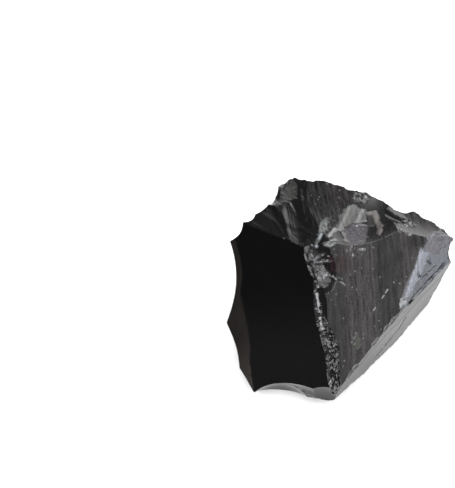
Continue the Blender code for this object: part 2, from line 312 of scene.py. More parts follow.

# Finish of each fracture: colour, roughness, strength of the flow bands, strength of the frosting and painted
# glints.
PLAIN = (SMOKY, 0.16, 0.35, 0.0)
FINISHES = {
    "dark_face": (GLASS, 0.07, 0.04, 0.0),
    "left_bevel": (UMBER, 0.2, 0.1, 0.0),
    "striated_face": (BANDED, 0.36, 1.0, 0.0),
    "crown_face": (BANDED_DARK, 0.27, 0.9, 0.0),
    "brow_face": (BANDED, 0.34, 0.8, 0.0),
    # pale_face and tip_scar: blue grey partly painted as a reflection
    "pale_face": (BLUE_GREY_AND_SHEEN, 0.26, 0.6, 0.0),
    "tip_scar": (BLUE_GREY_AND_SHEEN, 0.3, 0.2, 0.0),
    "shoulder_strip": (SMOKY, 0.12, 0.3, 0.0),
    "shoulder_scar": (GLASS, 0.1, 0.15, 0.0),
    "fan_scar": (SMOKY, 0.16, 0.5, 0.0),
    "smoky_scar": (SMOKY, 0.28, 0.3, 0.0),
    "brow_chip": (SMOKY, 0.2, 0.3, 0.0),
    "apex_chip": (SMOKY, 0.14, 0.3, 0.0),
    "struck_patch": (SMOKY, 0.14, 0.3, 0.0),
    "crest_flake_a": (SMOKY, 0.12, 0.2, 0.0),
    "crest_flake_b": (SMOKY, 0.12, 0.2, 0.0),
    "crest_flake_c": (SMOKY, 0.12, 0.2, 0.0),
    "toe_scallop_left": (SMOKY, 0.16, 0.1, 0.0),
    "toe_scallop_right": (SMOKY, 0.16, 0.1, 0.0),
    "right_wall": (SMOKY, 0.2, 0.2, 0.0),
    "base": (SMOKY, 0.4, 0.5, 0.1),
}

STRUCK_BACK = (-6.2, 7.7, 34.8)  # the blow that fanned out over the crown
STRUCK_FRONT = (-9.9, 1.4, 33.3)  # the blow beside the apex

# Marks on the faces: an outline (x, y) seen from above, and the state of the stone inside it; the pale marks
# are painted reflections.
MARKS = {
    "fan_dark": (
        ((-19.0, 14.0), (-19.0, 24.0), (-12.4, 29.5), (-11.2, 20.0), (-9.8, 8.6), (-12.5, 6.0)),
        dict(colour=FAN, rough=0.1, bands=0.3),
    ),
    # painted reflection: the scar is painted pale where it shines
    "pale_scar": (
        (
            (1.0, 21.1), (2.8, 21.6), (6.4, 19.9), (6.5, 16.3),
            (2.6, 15.3), (-1.1, 11.8), (-2.4, 12.3), (-1.5, 16.4),
        ),
        dict(colour=REFLECTION_PALE, rough=0.3, bands=0.4, lift=-0.1),
    ),
    # painted sheen: a brownish shine along the scar's rim
    "pale_rim": (
        ((6.4, 19.8), (9.2, 20.1), (10.8, 14.3), (9.9, 10.7), (9.1, 10.7), (9.1, 14.1), (8.0, 18.4)),
        dict(colour=SHEEN_WARM, rough=0.35, bands=0.2, frost_and_glint=0.05, lift=0.15),
    ),
    "dark_lobe": (
        ((6.6, 19.1), (8.0, 18.7), (8.6, 14.4), (6.4, 14.5)),
        dict(colour=BANDED, rough=0.3, lift=-0.2),
    ),
    "crumpled": (
        ((-9.4, 1.2), (-6.7, 1.6), (-4.7, -0.4), (-4.4, -2.3), (-5.5, -3.9), (-7.5, -3.4)),
        dict(colour=GREY, rough=0.3, frost_and_glint=0.1),
    ),
    "grain_oval": (
        ((0.1, 12.8), (2.4, 14.8), (4.7, 15.3), (6.4, 14.5), (6.4, 10.8), (4.5, 8.1), (1.7, 7.0), (0.1, 8.7)),
        dict(colour=MAUVE, rough=0.4, bands=0.3, lift=-0.25),
    ),
    # the slivers are painted pale as reflections
    "sliver_a": (
        ((-2.6, 12.9), (-2.3, 11.9), (-4.4, 8.9), (-4.8, 9.6)),
        dict(colour=REFLECTION_PALE, rough=0.3, frost_and_glint=0.3, lift=0.3),
    ),
    "sliver_b": (
        ((-2.6, 9.2), (-2.5, 7.7), (-5.8, 6.0)),
        dict(colour=REFLECTION_PALE, rough=0.3, frost_and_glint=0.1, lift=0.25),
    ),
    "sliver_c": (
        ((-1.2, 11.5), (-0.3, 11.6), (0.8, 8.4), (0.0, 7.1)),
        dict(colour=SHEEN_WARM, rough=0.35, frost_and_glint=0.1, lift=0.2),
    ),
    "red_patch": (
        ((-4.8, 3.3), (1.1, 4.2), (1.5, 1.5), (0.1, 0.1), (-4.1, -0.1)),
        dict(colour=REDDISH, bands=0.7),
    ),
    "tip_patch": (
        ((22.3, 9.7), (24.5, 13.7), (27.4, 15.7), (29.2, 13.1), (28.6, 10.4), (26.1, 8.1), (24.1, 8.4)),
        dict(colour=MAUVE_PALE, rough=0.35, bands=0.1, lift=0.15),
    ),
    # painted reflection: the pale blue strip where facet shines
    "pale_strip": (
        (
            (21.4, 8.9), (23.9, 8.1), (22.6, 5.1), (20.6, 0.5),
            (18.4, -3.1), (17.2, -3.6), (18.4, 0.5), (20.0, 4.4),
        ),
        dict(colour=REFLECTION_PALE_BLUE, bands=0.4, frost_and_glint=0.15),
    ),
    "soft_border": (
        ((21.3, 9.2), (19.8, 4.0), (18.1, 0.5), (16.8, -2.9), (15.2, -3.7), (16.4, 2.0), (19.0, 9.0)),
        dict(colour=BANDED, bands=1.0),
    ),
    "white_chip": (
        ((15.9, -4.2), (18.4, -3.1), (17.8, -4.7), (16.0, -6.3)),
        dict(rough=0.5, frost_and_glint=0.9, lift=-0.2),
    ),
    "droplet": (
        ((3.3, -14.0), (4.3, -15.1), (4.4, -17.0), (3.2, -18.1), (2.4, -17.0), (2.5, -15.0)),
        dict(colour=OLIVE, bands=0.2, lift=0.2),
    ),
    "shoulder_mottle": (
        ((-19.0, 18.5), (-18.0, 22.5), (-14.2, 29.7), (-12.8, 28.3), (-13.0, 23.0), (-16.2, 20.6)),
        dict(colour=OLIVE_DARK, rough=0.36),
    ),
    "blue_patch": (
        ((-6.3, 15.2), (-4.6, 15.8), (-4.8, 11.5), (-6.6, 9.8), (-8.1, 5.5), (-8.8, 5.7), (-7.7, 9.7)),
        dict(colour=GREENISH, rough=0.3, bands=0.8, frost_and_glint=0.1),
    ),
}
# These marks are drawn out into streaks, the way the flake left the stone.
DRAWN_OUT = {"pale_scar", "pale_rim", "red_patch", "blue_patch", "crumpled", "pale_strip"}

# Places where the glass is crushed: outline, size of the splinters, tilt, share that carries a painted glint,
# seed.
CRUSHED = (
    (MARKS["grain_oval"][0], 0.6, 0.15, 0.06, 51),
    (MARKS["shoulder_mottle"][0], 0.9, 0.1, 0.0, 52),
    (MARKS["tip_patch"][0], 1.0, 0.15, 0.05, 53),
    (MARKS["white_chip"][0], 0.7, 0.5, 0.8, 54),
    (MARKS["blue_patch"][0], 0.8, 0.22, 0.12, 55),
    (((-9.2, 0.8), (-6.7, 1.3), (-4.7, -0.4), (-4.4, -2.3), (-5.5, -3.9), (-7.5, -3.2)), 1.3, 0.3, 0.22, 56),
    (((-9.4, 2.0), (-5.9, 3.8), (-4.8, 3.0), (-6.7, 1.6), (-8.9, 1.1)), 1.0, 0.25, 0.15, 57),
    (((13.8, 14.3), (16.8, 17.4), (20.0, 18.2), (20.4, 15.7), (16.6, 14.1)), 1.1, 0.4, 0.28, 58),
    (((2.4, 24.4), (3.9, 26.3), (7.9, 25.8), (6.5, 22.5), (3.7, 22.7)), 1.0, 0.3, 0.15, 59),
    (((0.0, 6.8), (2.5, 6.7), (2.2, 4.1), (0.0, 4.4)), 0.8, 0.35, 0.3, 60),
)

# Thin ridges and cracks: a line of corners, its half width, the share of it that is missing and the
# state of the stone on it. The white lines are crushed glass with painted glints.
LINES = {
    "strip_low": (
        ((-25.3, 11.6, 37.6), (-18.1, 6.8, 37.4), (-13.9, 4.5, 36.5)),
        0.3, 0.0, dict(colour=BANDED, lift=0.05),
    ),
    "strip_high": (((-22.2, 15.5, 35.0), (-18.4, 11.6, 35.3)), 0.7, 0.0, dict(colour=BANDED, rough=0.15)),
    "fan_a": (
        ((-15.6, 21.3, 29.1), (-10.4, 9.5, 34.5)),
        0.3, 0.2, dict(colour=BANDED, rough=0.2, lift=0.1),
    ),
    "fan_b": (
        ((-11.8, 26.3, 25.3), (-10.3, 8.4, 35.1)),
        0.3, 0.2, dict(colour=BANDED, rough=0.2, lift=0.1),
    ),
    # painted reflection: a pale blue streak
    "blue_line": (
        ((-6.7, 9.8, 33.7), (-8.2, 5.5, 35.2)),
        0.45, 0.2, dict(colour=REFLECTION_PALE_BLUE, rough=0.25, frost_and_glint=0.7, lift=0.3),
    ),
    "crest_thin": (
        ((-10.7, 0.7, 34.0), (-9.8, -0.9, 32.8), (-8.6, -2.7, 31.3), (-7.7, -4.2, 29.9)),
        0.3, 0.4, dict(frost_and_glint=0.5, lift=0.1),
    ),
    # white of crushed glass and painted glints along the crest
    "crest_bright": (
        ((-8.0, -5.8, 28.6), (-7.3, -9.1, 26.0), (-6.9, -12.4, 23.9), (-6.3, -14.0, 22.8)),
        0.45, 0.15, dict(frost_and_glint=1.0, lift=0.1),
    ),
    "wavy": (
        ((-4.8, -0.8, 30.3), (-3.2, -1.2, 29.7), (-2.1, -2.5, 28.5), (-1.2, -2.2, 28.2), (-0.3, -2.8, 27.5)),
        0.3, 0.35, dict(frost_and_glint=0.6, lift=0.2),
    ),
    "ridge_dark": (
        ((18.4, -4.7, 16.7), (20.8, -1.8, 16.6), (23.5, 1.4, 16.7), (27.2, 5.1, 16.8), (28.4, 6.9, 17.2)),
        0.6, 0.05, dict(colour=GLASS, frost_and_glint=0.0, lift=-0.4),
    ),
    "ridge_dark_upper": (
        ((17.4, -3.9, 18.0), (19.8, -1.0, 18.3), (22.5, 2.2, 18.5), (26.2, 5.9, 18.2)),
        0.4, 0.25, dict(colour=GLASS, frost_and_glint=0.0, lift=-0.3),
    ),
    "pit_high": (((24.0, 6.5, 20.7), (24.6, 6.1, 19.8)), 0.6, 0.0, dict(colour=GLASS, lift=-0.3)),
    "pit_low": (((21.0, 3.0, 20.5), (21.6, 2.5, 19.6)), 0.6, 0.0, dict(colour=GLASS, lift=-0.3)),
    "wall_crack": (
        ((9.2, -17.8, 7.8), (12.7, -13.7, 8.4), (16.2, -9.7, 9.0), (18.0, -7.0, 11.6)),
        0.22, 0.1, dict(colour=GLASS, lift=-0.4),
    ),
    "speck_line": (((12.1, -2.4, 22.2), (8.0, -7.9, 20.4)), 0.3, 0.55, dict(frost_and_glint=0.5, lift=0.1)),
    "scar_arc": (
        ((0.0, 13.3, 29.4), (2.6, 15.3, 27.7), (4.8, 15.9, 27.1), (6.5, 16.3, 26.8)),
        0.35, 0.0, dict(colour=BANDED, lift=-0.2),
    ),
    "shard_bar": (((2.6, 5.9, 31.9), (5.3, 6.3, 30.8)), 0.35, 0.3, dict(colour=REFLECTION_PALE, frost_and_glint=0.2, lift=0.2)),
    "apex_line": (
        ((-10.2, 12.7, 32.6), (-9.7, 6.1, 36.3), (-9.4, 3.2, 34.2)),
        0.2, 0.55, dict(frost_and_glint=0.7, lift=0.05),
    ),
}


def icosphere_rays():
    """The ball as a mesh in bmesh, and its directions."""
    mesh = bmesh.new()
    bmesh.ops.create_icosphere(mesh, subdivisions=BALL_SUBDIVISIONS, radius=1.0)
    rays = np.array([v.co[:] for v in mesh.verts]) * ROUGH_OUT
    return mesh, rays / np.linalg.norm(rays, axis=1, keepdims=True)


def cut_back(rays, fractures):
    """Distance from CORE to the chunk's surface along each ray, and the fracture met there."""
    distance = np.full(len(rays), NO_HIT)
    met = np.zeros(len(rays), int)
    for index, fracture in enumerate(fractures):
        if fracture.small:
            offset = fracture.middle - CORE
            away = np.linalg.norm(offset)
            spread = math.atan(CHIP_REACH * fracture.half_length / away)
            near = np.flatnonzero(rays @ (offset / away) > math.cos(spread))
        else:
            near = np.arange(len(rays))
        here = fracture.reach(rays[near])
        nearer = here < distance[near]
        distance[near[nearer]] = here[nearer]
        met[near[nearer]] = index
    return distance, met


def sharpen(rays, edges, fractures):
    """Moves the rays next to a ridge onto it, so that the ridge is an edge of the mesh."""
    _, met = cut_back(rays, fractures)
    a, b = edges[met[edges[:, 0]] != met[edges[:, 1]]].T
    near, far = rays[a], rays[b]
    for _ in range(HALVINGS):
        middle = (near + far) / 2
        _, met_there = cut_back(middle, fractures)
        same = met_there == met[a]
        near = np.where(same[:, None], middle, near)
        far = np.where(same[:, None], far, middle)
    from_a = np.linalg.norm(near - rays[a], axis=1)
    from_b = np.linalg.norm(near - rays[b], axis=1)
    mover = np.where(from_a < from_b, a, b)
    nearest_last = np.argsort(-np.minimum(from_a, from_b))
    moved = rays.copy()
    moved[mover[nearest_last]] = near[nearest_last]
    return moved / np.linalg.norm(moved, axis=1, keepdims=True)


def edge_chips(count, seed):
    """Small flake scars bitten out of the ridges at random."""
    random = np.random.default_rng(seed)
    main = list(FRACTURES.values())
    rays = random.normal(size=(CHIP_TRIES, 3)) * (1, 1, 0.8)
    rays /= np.linalg.norm(rays, axis=1, keepdims=True)
    step = random.normal(size=rays.shape) * CHIP_STEP
    others = rays + step
    others /= np.linalg.norm(others, axis=1, keepdims=True)
    distance, met = cut_back(rays, main)
    other_distance, other_met = cut_back(others, main)
    points = CORE + rays * distance[:, None]
    other_points = CORE + others * other_distance[:, None]
    chips = []
    for i in np.flatnonzero(met != other_met):
        here, there = main[met[i]], main[other_met[i]]
        turn = here.normal @ there.normal
        if turn > BLUNT_RIDGE or len(chips) >= count:
            continue
        beside = {NAMES[met[i]], NAMES[other_met[i]]}
        if beside & SMOOTH_EDGED:
            continue
        middle = (points[i] + other_points[i]) / 2
        facing = unit(here.normal + there.normal + random.normal(size=3) * 0.25)
        ridge = np.cross(here.normal, there.normal)
        length = random.uniform(0.7, 2.2) ** 1.3
        along = ridge + random.normal(size=3) * 0.3
        chip = scoop(middle + facing * 0.05, facing, along, length, length * 0.7, 0.16 * length)
        chip.small = True
        chip.wander = 0.0
        chips.append(chip)
    return chips


HASH_STEPS = np.array([73856093, 19349663, 83492791])


def scatter(cell, seed, channel):
    """Repeatable random numbers from 0 to 1, one for each row of whole-number cells."""
    mixed = (cell @ HASH_STEPS + seed * 104729 + channel * 3747613).astype(np.uint64)
    mixed ^= mixed >> np.uint64(13)
    mixed *= np.uint64(1274126177)
    mixed ^= mixed >> np.uint64(16)
    mixed *= np.uint64(2654435761)
    mixed ^= mixed >> np.uint64(15)
    return (mixed & np.uint64(0xFFFFFF)).astype(float) / 0x1000000


def nearest_seed(points, size, seed):
    """The nearest of the seeds scattered one to a cell: its place and its cell."""
    scaled = points / size
    home = np.floor(scaled).astype(np.int64)
    best = np.full(len(points), 1e9)
    place = np.zeros_like(points)
    owner = np.zeros_like(home)
    for dx in (-1, 0, 1):
        for dy in (-1, 0, 1):
            for dz in (-1, 0, 1):
                cell = home + (dx, dy, dz)
                jitter = np.stack([scatter(cell, seed, k) for k in range(3)], axis=1)
                spot = cell + jitter
                apart = ((spot - scaled) ** 2).sum(axis=1)
                closer = apart < best
                best[closer] = apart[closer]
                place[closer] = spot[closer]
                owner[closer] = cell[closer]
    return place * size, owner


def splinters(points, size, tilt, step, seed):
    """Relief of crushed glass: flat splinters of about this size, each tilted its own way."""
    place, cell = nearest_seed(points, size, seed)
    lean = np.stack([scatter(cell, seed, 3 + k) - 0.5 for k in range(3)], axis=1) * 2 * tilt
    return ((points - place) * lean).sum(axis=1) + step * (scatter(cell, seed, 6) - 0.5)


def specks(points, size, share, seed):
    """Small round spots, from 0 to 1 at their middles, in this share of the cells."""
    place, cell = nearest_seed(points, size, seed)
    radius = size * (0.22 + 0.22 * scatter(cell, seed, 3))
    apart = np.linalg.norm(points - place, axis=1)
    return np.clip(1.4 * (1 - apart / radius), 0, 1) * (scatter(cell, seed, 4) < share)


def clouds(points, length, seed):
    """Smooth cloudy variation of about this length, between -1 and 1."""
    random = np.random.default_rng(seed)
    total = 0
    for _ in range(9):
        heading = unit(random.normal(size=3))
        k = 2 * math.pi / (length * random.uniform(0.6, 1.6))
        total = total + np.sin(k * (points @ heading) + random.uniform(0, 2 * math.pi))
    return total / 4.5


def fade(value, start, end):
    """Smooth change from 0 at start to 1 at end."""
    t = np.clip((value - start) / (end - start), 0, 1)
    return t * t * (3 - 2 * t)


def off_line(points, line):
    """Distance of each point from a line of corners, and how far along it the foot is, 0 to 1."""
    line = np.asarray(line, float)
    lengths = np.linalg.norm(np.diff(line, axis=0), axis=1)
    total = lengths.sum()
    best = np.full(len(points), 1e9)
    along = np.zeros(len(points))
    before = 0.0
    for start, end, length in zip(line[:-1], line[1:], lengths):
        t = np.clip((points - start) @ (end - start) / length**2, 0, 1)
        apart = np.linalg.norm(points - start - t[:, None] * (end - start), axis=1)
        closer = apart < best
        best[closer] = apart[closer]
        along[closer] = (before + t[closer] * length) / total
        before += length
    return best, along


BAND_DRIFT = 0.102  # the flow bands lean this much to the right towards the front
# Tone of the broad flow bands: place across them in millimetres, and how pale the stone is there.
BAND_PLACES = (
    -30.0, -12.0, -8.0, -5.0, -1.8, -0.4, 1.0, 3.6, 5.0, 7.0, 10.0, 12.0, 14.8, 17.3, 21.0, 26.0, 32.0,
)
BAND_TONES = (0.7, 1.1, 0.5, 0.4, 0.42, 0.5, 1.2, 1.3, 0.95, 1.0, 0.42, 0.5, 0.55, 1.05, 0.75, 1.1, 0.6)


def band_place(points):
    """Coordinate across the flow bands, with a slow wobble."""
    return points[:, 0] + BAND_DRIFT * points[:, 1] + 0.35 * clouds(points, 22.0, 41)


def band_level(q, narrow, wide, seed):
    """Random level from -1 to 1 for bands between the narrow and the wide width."""
    random = np.random.default_rng(seed)
    edges = np.cumsum(random.uniform(narrow, wide, 400)) - 60.0
    return np.interp(q, edges, random.uniform(-1, 1, 400))


def mix(colour, other, share):
    """The colour turned by this share into the other."""
    share = np.clip(share, 0, 1)[:, None]
    return colour * (1 - share) + np.asarray(other) * share


def within(points, outline, ragged=0.35, blur=0.25):
    """How far each point lies inside an outline seen from above: 0 outside, 1 well inside."""
    outline = np.asarray(outline, float)
    following = np.roll(outline, -1, axis=0)
    x, y = points[:, 0], points[:, 1]
    apart = np.full(len(points), 1e9)
    inside = np.zeros(len(points), bool)
    for (ax, ay), (bx, by) in zip(outline, following):
        t = np.clip(((x - ax) * (bx - ax) + (y - ay) * (by - ay)) / ((bx - ax) ** 2 + (by - ay) ** 2), 0, 1)
        apart = np.minimum(apart, np.hypot(x - ax - t * (bx - ax), y - ay - t * (by - ay)))
        crosses = (ay > y) != (by > y)
        if ay != by:
            inside ^= crosses & (x < ax + (y - ay) * (bx - ax) / (by - ay))
    depth = np.where(inside, apart, -apart) + ragged * clouds(points, 2.2, 17)
    return fade(depth, -blur, blur)


def along_line(points, line, width, gaps):
    """1 on a line of corners and 0 from this half width on, with this share of the line missing."""
    apart, _ = off_line(points, line)
    width = width * (1 + 0.5 * clouds(points, 3.0, 19))
    there = scatter(nearest_seed(points, 0.8, 19)[1], 19, 3) >= gaps
    return (1 - fade(apart, 0.3 * width, np.maximum(width, 0.08))) * there


class Skin:
    """Relief, colour, roughness, banding, frosting and painted glints of every point of the surface."""

    def __init__(self, points, met, names):
        finish = [FINISHES.get(n, PLAIN) for n in names]
        self.points = points
        self.colour = np.array([f[0] for f in finish])[met]
        self.rough = np.array([f[1] for f in finish])[met]
        self.bands = np.array([f[2] for f in finish])[met]
        self.frost_and_glint = np.array([f[3] for f in finish])[met]
        self.relief = np.zeros(len(points))

    def paint(self, share, colour=None, rough=None, bands=None, frost_and_glint=None, lift=0.0):
        """Turns this share of the surface into stone of another state."""
        share = np.clip(share, 0, 1)
        if colour is not None:
            self.colour = mix(self.colour, colour, share)
        if rough is not None:
            self.rough = self.rough + (rough - self.rough) * share
        if bands is not None:
            self.bands = self.bands + (bands - self.bands) * share
        if frost_and_glint is not None:
            self.frost_and_glint = self.frost_and_glint + (frost_and_glint - self.frost_and_glint) * share
        self.relief = self.relief + lift * share

    def crush(self, share, size, tilt, bright, seed, stretch=(1, 1, 1)):
        """Crushed glass: tilted shards of about this size and smaller, a few of them with a painted white
        glint on their raised side.
        """
        for scale in (1.0, 0.5):
            across = size * scale
            bend = [clouds(self.points, 1.3 * across, seed + k) for k in (1, 2, 3)]
            spots = self.points * stretch + 0.3 * across * np.stack(bend, 1)
            self.relief = self.relief + share * splinters(spots, across, tilt, 0.3 * across * tilt, seed)
            place, cell = nearest_seed(spots, across, seed)
            leaning = np.stack([scatter(cell, seed, k) - 0.5 for k in (3, 4, 5)], 1)
            slope = 1.8 * np.sum((spots - place) * leaning, axis=1) / across
            # painted glint: a few shards are painted white on their raised side
            lit = (scatter(cell, seed, 7) < bright) * fade(slope, -0.05, 0.4)
            glare = (0.3 + 0.7 * scatter(cell, seed, 8)) * (0.4 + 0.6 * scale)
            self.frost_and_glint = np.maximum(self.frost_and_glint, share * lit * glare)


def flow_bands(skin):
    """Flow bands run through the whole stone, and show where a face is matt."""
    q = band_place(skin.points)
    fine = band_level(q, narrow=0.3, wide=1.0, seed=5)
    middling = band_level(q, narrow=1.0, wide=2.6, seed=6)
    broad = np.interp(q, BAND_PLACES, BAND_TONES)
    skin.relief += skin.bands * (0.03 * fine + 0.05 * middling)
    tone = np.clip(broad * (1 + 0.45 * fine + 0.35 * middling), 0.1, 3)
    skin.colour = skin.colour * (1 + skin.bands * (tone - 1))[:, None]
    skin.rough += skin.bands * 0.05 * fine


def struck_rays(skin, middle, reach, narrow, wide, height, seed, share):
    """Ridges that spread like rays from a struck point."""
    out = skin.points - middle
    away = np.hypot(out[:, 0], out[:, 1])
    turn = np.arctan2(out[:, 1], out[:, 0]) + 0.12 * clouds(skin.points, 5.0, seed)
    ray = band_level(turn * 10, narrow * 10, wide * 10, seed)
    near = fade(away, 0.3, 1.5) * (1 - fade(away, 0.5 * reach, reach)) * share
    skin.relief += height * ray * near
    return near * fade(ray, 0.1, 0.7)


def crest_band(skin, right):
    """The crest is crushed along its right side, most of all towards the toe."""
    apart, down = off_line(skin.points, (APEX, TOE))
    width = 1.1 + 2.6 * fade(down, 0.42, 0.62) * (1 - 0.75 * fade(down, 0.78, 0.95))
    width = width + 0.5 * clouds(skin.points, 4.0, 7)
    share = right * (1 - fade(apart, 0.7 * width, width + 0.3)) * fade(down, 0.18, 0.34)
    skin.paint(share, SMOKY, rough=0.14, bands=0.2)
    skin.crush(share, size=1.25, tilt=0.22, bright=0.12, seed=11, stretch=(1, 0.34, 0.45))


# From where to where, from back to front in millimetres, a face changes towards the toe.
DARK_FACE_LIGHTENS = (-2.0, -20.0)
BEVEL_PALES = (-14.0, -27.0)
WALL_DULLS = (-10.0, -22.0)


def dress(points, normals, met, names):
    """Relief, colour, roughness, banding, frosting and painted glints of every point, from where it lies."""
    skin = Skin(points, met, names)
    is_chip = np.array([n == "chip" for n in names])[met]
    where = {n: met == i for i, n in enumerate(names) if n != "chip"}
    banded_side = where["striated_face"] | where["crown_face"] | where["brow_face"]
    upward = fade(normals[:, 2], 0.05, 0.2)
    right = ~(where["dark_face"] | where["left_bevel"]) * upward
    # the dark face is painted slightly lighter towards the toe
    low = fade(points[:, 1], *DARK_FACE_LIGHTENS) * where["dark_face"]
    skin.paint(low, colour=GLASS_LIGHTER)
    skin.paint(fade(points[:, 1], *BEVEL_PALES) * where["left_bevel"], colour=UMBER_PALE)
    flow_bands(skin)
    skin.paint(is_chip, frost_and_glint=0.2)
    crest_band(skin, right)

    course = points[:, 2] + 0.4 * clouds(points, 6.0, 42)
    streak = band_level(course, narrow=0.4, wide=1.5, seed=43) * where["right_wall"]
    skin.relief += 0.04 * streak
    skin.paint(0.5 * fade(streak, 0.2, 0.9), colour=GREY, rough=0.32)
    toe_end = fade(points[:, 1], *WALL_DULLS) * where["right_wall"]
    skin.paint(0.8 * toe_end, colour=MAUVE, rough=0.5)
    beside = 0.93 * points[:, 0] - 0.36 * points[:, 1]
    drawn = fade(band_level(beside, narrow=0.3, wide=1.3, seed=41), -0.5, 0.7)
    for name, (outline, settings) in MARKS.items():
        covered = upward * within(points, outline)
        if name in DRAWN_OUT:
            covered = covered * (0.45 + 0.55 * drawn)
        skin.paint(covered, **settings)
    for outline, size, tilt, bright, seed in CRUSHED:
        skin.crush(right * within(points, outline), size, tilt, bright, seed)
    for line, width, gaps, settings in LINES.values():
        skin.paint(right * along_line(points, line, width, gaps), **settings)

    behind = fade(points[:, 1], 5.0, 9.0) * right * (points[:, 0] < 3)
    struck_rays(
        skin, STRUCK_BACK, reach=22.0, narrow=0.06, wide=0.22, height=0.035, seed=31, share=behind
    )
    front = fade(points[:, 1] - 3.0, 1.5, -1.0) * right
    whisker = struck_rays(
        skin, STRUCK_FRONT, reach=7.5, narrow=0.10, wide=0.35, height=0.25, seed=32, share=front
    )
    skin.paint(whisker, GREY, frost_and_glint=0.3)

    apart, down = off_line(points, (APEX, TOE))
    crowded = 0.10 + 0.12 * fade(down, 0.3, 0.8) * (1 - fade(apart, 3, 18))
    spots = specks(points, size=0.85, share=crowded, seed=21) * banded_side
    skin.frost_and_glint = np.maximum(skin.frost_and_glint, 0.45 * spots)
    skin.relief -= 0.05 * spots
    return skin


def chunk_mesh():
    ball, rays = icosphere_rays()
    edges = np.array([[v.index for v in e.verts] for e in ball.edges])
    chips = edge_chips(EDGE_CHIPS, CHIP_SEED)
    fractures = list(FRACTURES.values()) + chips
    names = NAMES + ["chip"] * len(chips)
    for _ in range(SHARPENINGS):
        rays = sharpen(rays, edges, fractures)
    distance, met = cut_back(rays, fractures)
    points = CORE + rays * distance[:, None]
    normals = np.zeros_like(points)
    for index, fracture in enumerate(fractures):
        here = met == index
        normals[here] = fracture.slope(points[here])
    skin = dress(points, normals, met, names)
    facing = np.maximum((rays * normals).sum(axis=1), LEAST_FACING)
    off_base = fade(points[:, 2], 0.0, BASE_MARGIN)
    relief = np.where(met == NAMES.index("base"), 0.0, skin.relief * off_base)
    points = points + rays * (relief / facing)[:, None]
    points[:, 2] = np.maximum(points[:, 2], 0.0)
    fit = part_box("obsidian_chunk")
    lowest, highest = points.min(axis=0), points.max(axis=0)
    low, high = np.array(fit[0]), np.array(fit[1])
    points = low + (points - lowest) / (highest - lowest) * (high - low)
    for vertex, point in zip(ball.verts, points):
        vertex.co = point
    bmesh.ops.recalc_face_normals(ball, faces=ball.faces)
    mesh = bpy.data.meshes.new("obsidian_chunk_dressed")
    ball.to_mesh(mesh)
    ball.free()
    paint = mesh.attributes.new("stone", "FLOAT_COLOR", "POINT")
    colour = np.column_stack([skin.colour, np.ones(len(points))])
    paint.data.foreach_set("color", colour.astype(np.float32).ravel())
    for name, values in (("rough", skin.rough), ("frost_and_glint", skin.frost_and_glint), ("bands", skin.bands)):
        layer = mesh.attributes.new(name, "FLOAT", "POINT")
        layer.data.foreach_set("value", values.astype(np.float32))
    return mesh, (lowest + highest) / 2


def math_node(tree, operation, first, second=0.0, third=0.0):
    node = tree.nodes.new("ShaderNodeMath")
    node.operation = operation
    for socket, value in zip(node.inputs, (first, second, third)):
        if isinstance(value, (int, float)):
            socket.default_value = value
        else:
            tree.links.new(value, socket)
    return node.outputs[0]


def attribute(tree, name, output):
    node = tree.nodes.new("ShaderNodeAttribute")
    node.attribute_name = name
    return node.outputs[output]


def noise(tree, vector, scale, detail):
    node = tree.nodes.new("ShaderNodeTexNoise")
    node.inputs["Scale"].default_value = scale
    node.inputs["Detail"].default_value = detail
    tree.links.new(vector, node.inputs["Vector"])
    return node.outputs["Fac"]


def line_noise(tree, place, scale, detail):
    node = tree.nodes.new("ShaderNodeTexNoise")
    node.noise_dimensions = "1D"
    node.inputs["Scale"].default_value = scale
    node.inputs["Detail"].default_value = detail
    tree.links.new(place, node.inputs["W"])
    return node.outputs["Fac"]


def around_middle(tree, value, strength):
    """The noise value turned into a swing of this strength round 0."""
    return math_node(tree, "MULTIPLY_ADD", value, strength, -0.5 * strength)


# Scales of the noises in the material, per metre, and heights in metres.
LINE_SCALE = 1500.0
STREAK_SCALE = 1700.0
GRAIN_SCALE = 2200.0
WOBBLE_SCALE = 60.0
WOBBLE = 0.0012
DRAWN_SHARE = 0.14  # pace of the streaks along the bands, next to 1 across them
GLASS_IOR = 1.5
BUMP_HEIGHT = 0.00012


